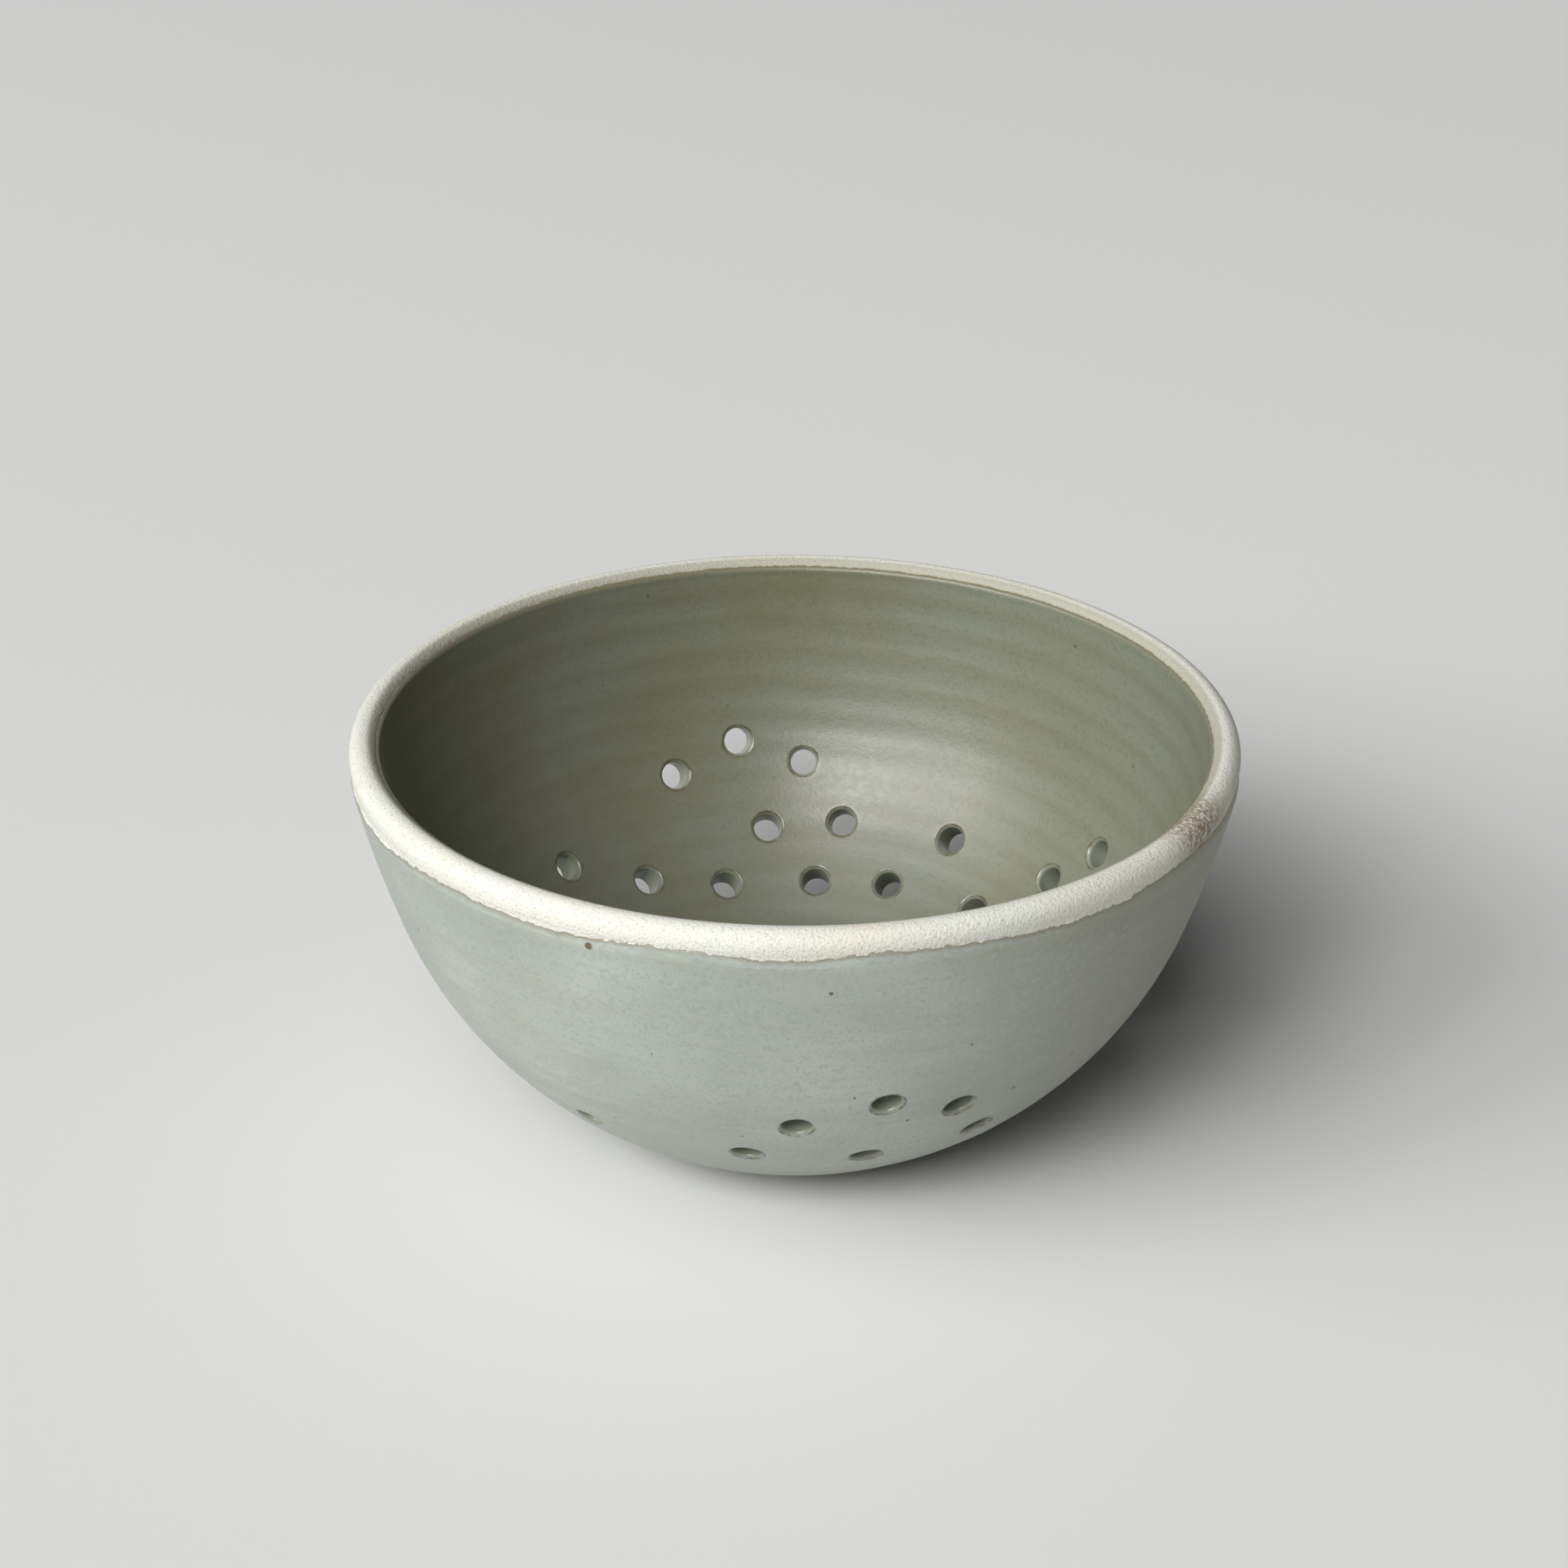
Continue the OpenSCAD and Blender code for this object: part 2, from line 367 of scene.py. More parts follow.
def newTree(name, **sockets):
    # an empty group with these inputs, what adds its nodes, and where its inputs come in
    tree = bpy.data.node_groups.new(name, "GeometryNodeTree")
    for label, kind in sockets.items():
        tree.interface.new_socket(label, in_out="INPUT", socket_type="NodeSocket" + kind)
    tree.interface.new_socket("mesh", in_out="OUTPUT", socket_type="NodeSocketGeometry")
    add = partial(addNode, tree)
    return tree, add, add("NodeGroupInput").outputs


def fromMiddle(add, place):
    # how far a place is from the bowl's axis
    onPlane = add("VectorMath", [place, (1, 1, 0)], operation="MULTIPLY")
    return add("VectorMath", [onPlane], operation="LENGTH").outputs["Value"]


def runNodes(name, mesh, tree, values):
    # puts the tree on an object, takes the plain mesh that comes out and drops the modifier
    piece = addObject(name, mesh)
    step = piece.modifiers.new(name, "NODES")
    step.node_group = tree
    named = {item.name: item.identifier for item in tree.interface.items_tree
             if item.item_type == "SOCKET" and item.in_out == "INPUT"}
    for label, value in values.items():
        step[named[label]] = value
    graph = bpy.context.evaluated_depsgraph_get()
    made = bpy.data.meshes.new_from_object(piece.evaluated_get(graph),
                                           preserve_all_data_layers=True, depsgraph=graph)
    piece.modifiers.remove(step)
    piece.data = made
    made.name = name
    print(name, len(made.vertices), "points")
    return piece


def revolveTree():
    # turns a profile round Z: a grid takes its rows from the profile's points
    tree, add, given = newTree("revolve profile", profile="Geometry", segments="Int")
    profile, segments = given["profile"], given["segments"]
    rows = add("AttributeDomainSize", [profile])
    columns = add("FunctionNodeIntegerMath", [segments, 1], operation="ADD")
    grid = add("MeshGrid", {"Vertices X": columns, "Vertices Y": rows})
    index = add("InputIndex")
    row = add("FunctionNodeIntegerMath", [index, rows], operation="MODULO")
    column = add("FunctionNodeIntegerMath", [index, rows], operation="DIVIDE")
    turn = add("Math", [column, segments], operation="DIVIDE")
    angle = add("Math", [turn, 2*pi], operation="MULTIPLY")
    point = add("SampleIndex", {
        "Geometry": profile, "Value": add("InputPosition"), "Index": row},
        data_type="FLOAT_VECTOR")
    place = add("VectorRotate", {"Vector": point, "Angle": angle}, rotation_type="Z_AXIS")
    mesh = add("SetPosition", {"Geometry": grid, "Position": place})
    for name in ("along", "inside"):
        value = add("InputNamedAttribute", [name])
        sampled = add("SampleIndex", {"Geometry": profile, "Value": value, "Index": row})
        mesh = add("StoreNamedAttribute", {"Geometry": mesh, "Name": name, "Value": sampled})
    mesh = add("MergeByDistance", {"Geometry": mesh, "Distance": onePoint})
    mesh = add("SetShadeSmooth", [mesh])
    add("NodeGroupOutput", [mesh])
    return tree


revolve = revolveTree()


# Marks of the throwing, and the glaze with its edges

surface = {
    "ringSpacing": 6.6,         # the fingers rise this far in a turn of the wheel
    "ringOutside": 0.035,       # height of the rings either way
    "ringInside": 0.10,
    "wander": 0.12,             # slow unevenness of the wall
    "drift": 0.5,               # how far the rings stray, in turns
    "driftScale": 22.0,         # waves to the metre
    "patchScale": 34.0,
    "wanderScale": 17.0,
    "footTrue": 4,              # heights between which the unevenness comes in and goes out
    "footUneven": 9,
    "lipUneven": 73,
    "lipTrue": 78,
    "lipShare": 0.25,           # what is left of it on the lip
    "glazeThickness": 0.36,
    "glazeTuck": 0.30,          # the coat's edge dives this far under the clay
    "edgeWidth": 0.55,          # over which the coat swells up from its edge
    "lineWander": 0.8,          # how ragged the outer glaze line is
    "lineScale": 300.0,
    "insideWander": 0.25,       # what share of that the inner line has
    "footLine": 32,
    "insideLine": 79.7,
    "insideFrom": (0.5, 0.65),  # where on the round of the lip the inner line takes over
    "sameSpot": 0.02,           # a face this near a surface was cut from it
    # where the potter wiped the glaze to: degrees from the front, then millimetres below the lip
    "lineDrops": [(-180, 5.3), (-120, 5.8), (-66, 6.3), (-50, 5.4), (-30, 5.6), (-17, 4.4),
                  (0, 5.4), (11, 4.2), (22, 4.8), (41, 5.9), (55, 5.2), (90, 5.6), (140, 5.0),
                  (180, 5.3)],
    "lineReach": 12,            # the curve's whole height, in millimetres
}


def reliefTree(s):
    # throwing rings in one long spiral, and a slow unevenness
    tree, add, given = newTree("throwing marks", mesh="Geometry", ringSpacing="Float",
                               ringOutside="Float", ringInside="Float", wander="Float")
    position = add("InputPosition")
    axes = add("SeparateXYZ", [position]).outputs
    along = add("InputNamedAttribute", ["along"])
    inside = add("InputNamedAttribute", ["inside"])
    slow = add("TexNoise", {"Vector": position, "Scale": s["driftScale"], "Detail": 1.0})
    turns = add("Math", [along, given["ringSpacing"]], operation="DIVIDE")
    drift = add("Math", [slow, s["drift"], turns], operation="MULTIPLY_ADD")
    azimuth = add("Math", [axes["Y"], axes["X"]], operation="ARCTAN2")
    phase = add("Math", [drift, 2*pi, azimuth], operation="MULTIPLY_ADD")
    ring = add("Math", [phase], operation="SINE")
    height = add("MapRange", {
        "Value": inside, "To Min": given["ringOutside"], "To Max": given["ringInside"]})
    patchy = add("TexNoise", {"Vector": position, "Scale": s["patchScale"], "Detail": 1.0})
    strength = add("Math", [height, patchy], operation="MULTIPLY")
    rings = add("Math", [ring, strength], operation="MULTIPLY")
    uneven = add("TexNoise", {"Vector": position, "Scale": s["wanderScale"]})
    centred = add("Math", [uneven, 0.5], operation="SUBTRACT")
    relief = add("Math", [centred, given["wander"], rings], operation="MULTIPLY_ADD")
    # the foot stays flat, and the lip nearly true
    nearFoot = add("MapRange", {
        "Value": axes["Z"], "From Min": s["footTrue"]*mm, "From Max": s["footUneven"]*mm},
        interpolation_type="SMOOTHSTEP")
    offFoot = add("Math", [nearFoot, inside], operation="MAXIMUM")
    nearLip = add("MapRange", {
        "Value": axes["Z"], "From Min": s["lipUneven"]*mm, "From Max": s["lipTrue"]*mm,
        "To Min": 1.0, "To Max": s["lipShare"]}, interpolation_type="SMOOTHSTEP")
    fade = add("Math", [offFoot, nearLip], operation="MULTIPLY")
    depth = add("Math", [relief, fade], operation="MULTIPLY")
    offset = add("VectorMath", {0: add("InputNormal"), "Scale": depth}, operation="SCALE")
    mesh = add("StoreNamedAttribute", {"Geometry": given["mesh"], "Name": "ring", "Value": ring})
    mesh = add("SetPosition", {"Geometry": mesh, "Offset": offset})
    add("NodeGroupOutput", [mesh])
    return tree


def glazeTree(s):
    # stores how far each point lies under its glaze line, and swells the coat from there
    tree, add, given = newTree("glaze coat", mesh="Geometry", thickness="Float", tuck="Float",
                               edgeWidth="Float", lineWander="Float", footLine="Float",
                               insideLine="Float", lipHeight="Float")
    position = add("InputPosition")
    axes = add("SeparateXYZ", [position]).outputs
    inside = add("InputNamedAttribute", ["inside"])
    back = add("Math", [axes["Y"], -1.0], operation="MULTIPLY")
    azimuth = add("Math", [axes["X"], back], operation="ARCTAN2")
    share = add("MapRange", {"Value": azimuth, "From Min": -pi, "From Max": pi})
    drop = add("FloatCurve", {"Value": share})
    points = drop.mapping.curves[0].points
    while len(points) < len(s["lineDrops"]):
        points.new(0.5, 0.5)
    for point, (angle, fall) in zip(points, s["lineDrops"]):
        point.location = angle/360 + 0.5, fall/s["lineReach"]
    drop.mapping.update()
    ragged = add("TexNoise", {
        "Vector": position, "Scale": s["lineScale"], "Detail": 3.0, "Roughness": 0.7})
    jag = add("MapRange", {
        "Value": ragged, "From Min": 0.25, "From Max": 0.75, "To Min": -0.5, "To Max": 0.5})
    wander = add("Math", [jag, given["lineWander"]], operation="MULTIPLY")
    # the line's own height, then how far below it this point is
    top = add("Math", [drop, -s["lineReach"]*mm, given["lipHeight"]], operation="MULTIPLY_ADD")
    belowTop = add("Math", [top, axes["Z"]], operation="SUBTRACT")
    fromFoot = add("Math", [fromMiddle(add, position), given["footLine"]], operation="SUBTRACT")
    outside = add("Math", [belowTop, fromFoot], operation="MINIMUM")
    outside = add("Math", [outside, wander], operation="ADD")
    belowLip = add("Math", [given["insideLine"], axes["Z"]], operation="SUBTRACT")
    within = add("Math", [wander, s["insideWander"], belowLip], operation="MULTIPLY_ADD")
    pastTop = add("MapRange", {
        "Value": inside, "From Min": s["insideFrom"][0], "From Max": s["insideFrom"][1]})
    below = add("Mix", {"Factor": pastTop, "A": outside, "B": within})
    cover = add("Math", [below, given["edgeWidth"]], operation="DIVIDE")
    cover = add("MapRange", {
        "Value": cover, "From Min": -1.0, "From Max": 1.0}, interpolation_type="SMOOTHSTEP")
    tuck = add("Math", [given["tuck"], -1.0], operation="MULTIPLY")
    lift = add("MapRange", {"Value": cover, "To Min": tuck, "To Max": given["thickness"]})
    offset = add("VectorMath", {0: add("InputNormal"), "Scale": lift}, operation="SCALE")
    mesh = add("StoreNamedAttribute", {
        "Geometry": given["mesh"], "Name": "belowLine", "Value": below})
    mesh = add("SetPosition", {"Geometry": mesh, "Offset": offset})
    add("NodeGroupOutput", [mesh])
    return tree


throwing, glazing = reliefTree(surface), glazeTree(surface)


def thrown(name, step, coated):
    # one skin of the bowl: the bare clay, or the clay under its coat of glaze
    s = surface
    skin = runNodes(name, bowlProfile(name + "Profile", step), revolve,
                    {"segments": bowl["segments"]})
    skin = runNodes(name + "Thrown", skin.data, throwing, {
        key: s[key]*mm for key in ("ringSpacing", "ringOutside", "ringInside", "wander")})
    sizes = {key: s[key]*mm for key in ("edgeWidth", "lineWander", "footLine", "insideLine")}
    sizes.update(thickness=s["glazeThickness"]*mm*coated, tuck=s["glazeTuck"]*mm*coated,
                 lipHeight=clayHigh[2])
    return runNodes(name + "Glazed", skin.data, glazing, sizes)


claySkin = thrown("claySkin", bowl["clayStep"], 0)
glazeSkin = thrown("glazeSkin", bowl["glazeStep"], 1)


# Drain holes: cutters whose mouths follow the surface that they cut

holes = {
    "bore": 2.7,         # radius of a glazed hole
    "mouth": 0.85,       # radius of the soft edge where it meets the wall
    "lining": 0.35,      # thickness of the glaze in it
    "mouthSlope": 6,     # degrees left between the soft edge and the wall
    "runOut": 0.5,
    "capHeight": 1.6,
    "mouthSteps": 6,
    "segments": 32,
    "floorRing": 15,
    "floorCount": 6,
    "sizeChange": 0.04,  # either way, since the drill wobbles
    "seed": 11,
    "lineReach": 9,      # how far a hole's middle line runs either way
    "findReach": 30,     # and how far from it the surface is looked for
    # degrees from the front anticlockwise, then the height as a share of the bowl's
    "wall": [
        (0.5, 0.415), (13.5, 0.485), (25.5, 0.43), (33, 0.30), (13, 0.262), (352, 0.286),
        (52, 0.21), (70, 0.30), (84, 0.21), (98, 0.33), (108, 0.21), (113.5, 0.465),
        (121.5, 0.35), (135, 0.22), (147.5, 0.34), (158, 0.22), (170.5, 0.338), (175, 0.21),
        (178.5, 0.475), (185.5, 0.323), (190, 0.53), (196, 0.21), (202, 0.465), (214, 0.25),
        (230.5, 0.338), (239, 0.21), (256, 0.30), (268, 0.21), (282, 0.31), (300, 0.22),
        (322, 0.288)],
}


def holeAxes(h, b, c):
    # a point in the middle of the wall for each hole, and the direction out through it
    spots = []
    for azimuth, share in h["wall"]:
        z = share*c["height"]
        angle = acos((c["belly"].y - z)/c["bellyRadius"])
        out = ray(angle)
        mouth = c["belly"] + c["bellyRadius"]*out
        q = mouth - c["hollow"]
        along = q.dot(out)
        through = along - sqrt(c["hollowRadius"]**2 - q.dot(q) + along**2)
        middle = mouth - out*min(through, 2*b["floorThickness"])/2
        turn = Matrix.Rotation(radians(azimuth - 90), 3, "Z")
        spots.append((turn @ Vector((middle.x, 0, middle.y)), turn @ Vector((out.x, 0, out.y))))
    middle = b["footHollow"] + b["floorThickness"]/2
    for i in range(h["floorCount"] + 1):
        spin = Matrix.Rotation(2*pi*i/h["floorCount"], 3, "Z")
        reach = h["floorRing"] if i else 0
        spots.append((spin @ Vector((reach, 0, middle)), Vector((0, 0, -1))))
    return spots


def holeMesh(name, spots, reach):
    # the middles of the holes, each with its direction, or lines along them that reach this far
    mesh = bpy.data.meshes.new(name)
    if reach:
        ends = [tuple((p + out*way)*mm) for p, out in spots for way in (-reach, reach)]
        mesh.from_pydata(ends, [(i, i + 1) for i in range(0, len(ends), 2)], [])
        return mesh
    mesh.from_pydata([tuple(p*mm) for p, out in spots], [], [])
    axis = mesh.attributes.new("holeAxis", "FLOAT_VECTOR", "POINT")
    for i, (p, out) in enumerate(spots):
        axis.data[i].vector = out
    return mesh


def drillProfile(name, h, lining):
    # from the cap over the inner mouth through the bore to the cap over the outer mouth: across
    # is the distance from the axis, down the depth below the surface
    bore, edge = h["bore"] + lining, h["mouth"] - lining
    slope = radians(h["mouthSlope"])
    across = [0, bore + edge + h["runOut"], bore + edge + h["runOut"]/2]
    down = [-h["capHeight"], -h["runOut"]*2*sin(slope), -h["runOut"]*sin(slope)]
    for i in range(h["mouthSteps"] + 1):
        lean = slope + (pi/2 - slope)*i/h["mouthSteps"]
        across.append(bore + edge - edge*sin(lean))
        down.append(edge - edge*cos(lean))
    # the drill is drawn upright and apart here, and its depths are measured again on the wall
    spread = 2*(h["capHeight"] + edge)
    rows = [Vector((x, d - spread)) for x, d in zip(across, down)]
    rows += [Vector((x, -d)) for x, d in zip(across[::-1], down[::-1])]
    count = len(across)
    return profileMesh(name, rows, [1]*count + [0]*count, down + down[::-1])


def drillTree(h):
    tree, add, given = newTree("drain holes", mesh="Geometry", spots="Object", drill="Object",
                               sizeChange="Float")
    spots = add("ObjectInfo", [given["spots"]]).outputs["Geometry"]
    drill = add("ObjectInfo", [given["drill"]]).outputs["Geometry"]
    position = add("InputPosition")
    # the drill is laid flat in the middle of the wall, and each point finds the surface from there
    flat = add("VectorMath", [position, (1, 1, 0)], operation="MULTIPLY")
    drill = add("SetPosition", {"Geometry": drill, "Position": flat})
    axis = add("InputNamedAttribute", ["holeAxis"], data_type="FLOAT_VECTOR")
    aim = add("FunctionNodeAlignRotationToVector", {"Vector": axis}, axis="Z")
    less = add("Math", [1.0, given["sizeChange"]], operation="SUBTRACT")
    more = add("Math", [1.0, given["sizeChange"]], operation="ADD")
    size = add("FunctionNodeRandomValue", {"Seed": h["seed"]})
    size = add("MapRange", {"Value": size.outputs[1], "To Min": less, "To Max": more})
    cutters = add("InstanceOnPoints", {
        "Points": spots, "Instance": drill, "Rotation": aim, "Scale": size})
    cutters = add("RealizeInstances", [cutters])
    side = add("InputNamedAttribute", ["inside"])
    turned = add("MapRange", {"Value": side, "To Min": 1.0, "To Max": -1.0})
    away = add("VectorMath", {0: axis, "Scale": turned}, operation="SCALE")
    hit = add("Raycast", {
        "Target Geometry": given["mesh"], "Source Position": position, "Ray Direction": away,
        "Ray Length": h["findReach"]*mm}).outputs["Hit Position"]
    depth = add("InputNamedAttribute", ["along"])
    shift = add("VectorMath", {0: away, "Scale": depth}, operation="SCALE")
    place = add("VectorMath", [hit, shift], operation="SUBTRACT")
    cutters = add("SetPosition", {"Geometry": cutters, "Position": place})
    add("NodeGroupOutput", [cutters])
    return tree


def cutTree():
    tree, add, given = newTree("cut away", mesh="Geometry", cutter="Object")
    cutter = add("ObjectInfo", [given["cutter"]])
    mesh = add("MeshBoolean", {
        "Mesh 1": given["mesh"], "Mesh 2": cutter.outputs["Geometry"]}, operation="DIFFERENCE",
        solver="MANIFOLD")
    add("NodeGroupOutput", [mesh])
    return tree


drilling, cutting = drillTree(holes), cutTree()
middles = holeAxes(holes, bowl, curves)
spots = addObject("holeSpots", holeMesh("holeSpots", middles, 0))
lines = addObject("holeLines", holeMesh("holeLines", middles, holes["lineReach"]))


def drilled(name, skin, lining):
    drill = runNodes(name + "Drill", drillProfile(name + "DrillProfile", holes, lining), revolve,
                     {"segments": holes["segments"]})
    cutters = runNodes(name + "Cutters", skin.data, drilling, {
        "spots": spots, "drill": drill, "sizeChange": holes["sizeChange"]})
    return cutters, runNodes(name + "Drilled", skin.data, cutting, {"cutter": cutters})


clayCutters, clay = drilled("clay", claySkin, holes["lining"])
glazeCutters, glaze = drilled("glaze", glazeSkin, 0)
coats = runNodes("coats", glaze.data, cutting, {"cutter": clay})


# Notches under the foot ring, which let the water out from under the bowl

notch = {"count": 3, "width": 7, "height": 1.1, "overrun": 1.5}


def notchMesh(n, b, c):
    shape = bmesh.new()
    inner = c["foot"] - b["footRingWidth"] - n["overrun"]
    long = b["footRingWidth"] + 2*n["overrun"]
    tall = n["height"] + n["overrun"]
    for i in range(n["count"]):
        turn = Matrix.Rotation(2*pi*(i + 0.5)/n["count"], 4, "Z")
        size = Matrix.Diagonal((long*mm, n["width"]*mm, tall*mm, 1))
        middle = Matrix.Translation(((inner + long/2)*mm, 0, (n["height"] - tall/2)*mm))
        bmesh.ops.create_cube(shape, size=1, matrix=turn @ middle @ size)
    mesh = bpy.data.meshes.new("notches")
    shape.to_mesh(mesh)
    shape.free()
    return mesh


notches = addObject("notches", notchMesh(notch, bowl, curves))
clay = runNodes("clayNotched", clay.data, cutting, {"cutter": notches})


# The glaze comes off the clay in three pieces: the coats outside and inside, and the linings of
# the holes, parted deep in the bores where no seam shows

parting = {
    "depth": 1.7,  # under either face of the clay
    "segments": 96,
    "step": 2.4,
    "far": 110,    # the parting solids reach well past the bowl
    "below": -6,
    "above": 95,
    "footReach": 24.6,
}


def partingSolids(s, b, c):
    def line(points):
        return thinned(points, lambda p: s["step"])
    _, wall, _ = outsidePoints(b, c, -s["depth"])
    _, rows = insidePoints(b, c, s["depth"])
    outer = [Vector((s["footReach"], s["below"]))] + line(wall)
    outer.append(Vector((outer[-1].x, s["above"])))
    inner = line(rows)[::-1]
    inner[0].x = 0
    inner.append(Vector((inner[-1].x, s["above"])))
    top, bottom = Vector((0, s["above"])), Vector((0, s["below"]))
    farLow, farHigh = Vector((s["far"], s["below"])), Vector((s["far"], s["above"]))
    shapes = {
        "withinOuter": [bottom] + outer + [top],
        "withinInner": inner + [top],
        "aroundOuter": outer[::-1] + [farLow, farHigh, outer[-1]],
        "aroundInner": [bottom, farLow, farHigh] + inner[::-1],
    }
    return {name: runNodes(name, profileMesh(name, points, [0]*len(points)), revolve,
                           {"segments": s["segments"]}) for name, points in shapes.items()}


solids = partingSolids(parting, bowl, curves)
outsideCoat = runNodes("outsideCoat", coats.data, cutting, {"cutter": solids["withinOuter"]})
insideCoat = runNodes("insideCoat", coats.data, cutting, {"cutter": solids["aroundInner"]})
linings = runNodes("linings", coats.data, cutting, {"cutter": solids["aroundOuter"]})
linings = runNodes("linings", linings.data, cutting, {"cutter": solids["withinInner"]})


# Materials

def wallSpot(azimuth, height, side):
    # a point on the glazed wall, by degrees from the front and millimetres above the floor
    _, wall, _ = outsidePoints(bowl, curves, surface["glazeThickness"])
    _, rows = insidePoints(bowl, curves, -surface["glazeThickness"])
    near = min(wall if side == "outside" else rows, key=lambda p: abs(p.y - height))
    turn = radians(azimuth)
    return Vector((sin(turn)*near.x, -cos(turn)*near.x, near.y))*mm


def paintOver(add, colour, layers):
    # each layer is a colour and how much of it covers what lies below
    for shade, amount in layers:
        mix = add("Mix", {0: amount, 6: colour, 7: linearColour(shade)}, data_type="RGBA")
        colour = mix.outputs[2]
    return colour


def newMaterial(name):
    # a material, its tree, what adds nodes to it, its shader, and the place on the piece
    material = bpy.data.materials.new(name)
    material.use_nodes = True
    tree = material.node_tree
    add = partial(addNode, tree)
    place = add("TexCoord").outputs["Object"]
    return material, tree, add, tree.nodes["Principled BSDF"], place


def makePatterns(add, place, patterns):
    # cloudy patterns by name, from their size, detail, roughness and how flat they lie
    made = {}
    for name, (size, detail, roughness, flat) in patterns.items():
        at = place
        if flat > 1:
            at = add("Mapping", {"Vector": place, "Scale": (1, 1, flat)})
        made[name] = add("TexNoise", {
            "Vector": at, "Scale": 1/(size*mm), "Detail": detail, "Roughness": roughness})
    return made


def makeMasks(add, rows):
    # masks by name, from what they read, where they start, where they are full, how strong
    # they are there, and whether they ease in and out
    made = {}
    for name, value, start, full, most, eased in rows:
        made[name] = add("MapRange", {
            "Value": value, "From Min": start, "From Max": full, "To Max": most},
            interpolation_type="SMOOTHSTEP" if eased else "LINEAR")
    return made


stoneware = {
    "clay": "#D6D6CD",
    "warm": "#D3CCB6",     # where iron in the clay has warmed it
    "shadeOfGrit": "#AFAEA2",
    "iron": "#6B5A48",
    "stain": "#7E765E",    # thin glaze soaked in along its line
    "filmAndShade": "#A3A191",     # thin glaze over the inside of the lip, also painted darker as painted shade for the back of the rim
    "filmAndShadeFrom": 81.0,      # millimetres from the middle
    "filmAndShadeTo": 79.9,
    "toast": "#8A7C67",    # a patch on the lip that the flame has toasted
    "toastPlace": 62,      # degrees from the front
    "toastReach": 15,
    "toastCore": 3,
    # millimetres, detail, roughness, how flat
    "patterns": {"warm": (26, 3, 0.5, 1), "grit": (0.5, 2, 0.6, 1), "pits": (1.2, 2, 0.5, 1),
                 "blotch": (0.9091, 3, 0.7, 1), "ragged": (1.5, 3, 0.65, 1)},
    "ironSpacing": 3.2,
    "ironRadius": 0.17,
    "ironFew": 0.6,
    "ironStrength": 0.85,
    "raggedReach": 1.1,    # the painted edge of the glaze breaks up this far
    "raggedInside": 0.35,  # the potter's finger left the inner edge smoother
    "raggedBlend": 1,      # either side of the lip's top, between the two
    "roughness": 0.86,
    "shine": 0.25,
    "pitDepth": 0.18,
    "gritDepth": 0.2,
}


def paintedLine(add, place, look):
    # how far below the glaze line, with its finest raggedness, which clay and glaze share
    below = add("Attribute", attribute_name="belowLine").outputs["Fac"]
    ragged = makePatterns(add, place, {"ragged": look["patterns"]["ragged"]})["ragged"]
    ragged = add("Math", [ragged, 0.5], operation="SUBTRACT")
    lip, blend = curves["lip"].x*mm, look["raggedBlend"]*mm
    reach = add("MapRange", {
        "Value": fromMiddle(add, place), "From Min": lip - blend, "From Max": lip + blend,
        "To Min": look["raggedInside"]*mm, "To Max": look["raggedReach"]*mm})
    return add("Math", [ragged, reach, below], operation="MULTIPLY_ADD")


def ironSpecks(add, place, look):
    # small specks all over, in those cells of a pattern whose colour picks them
    spots = add("TexVoronoi", {"Vector": place, "Scale": 1/(look["ironSpacing"]*mm)})
    few = add("SeparateColor", [spots.outputs["Color"]])
    size = add("MapRange", {
        "Value": few, "From Min": look["ironFew"],
        "To Max": look["ironRadius"]/look["ironSpacing"]})
    speck = add("Math", [spots.outputs["Distance"], size], operation="LESS_THAN")
    return add("Math", [speck, look["ironStrength"]], operation="MULTIPLY")


def ironAmount(add, place, spots, side):
    # how much of each speck of iron shows here, the chosen ones taken together
    amount = 0.0
    for azimuth, height, radius in spots:
        spot = wallSpot(azimuth, height, side)
        far = add("VectorMath", [place, spot], operation="DISTANCE")
        near = add("MapRange", {
            "Value": far.outputs["Value"], "From Min": radius*1.2*mm, "From Max": radius*0.7*mm})
        amount = add("Math", [near, amount], operation="MAXIMUM")
    return amount


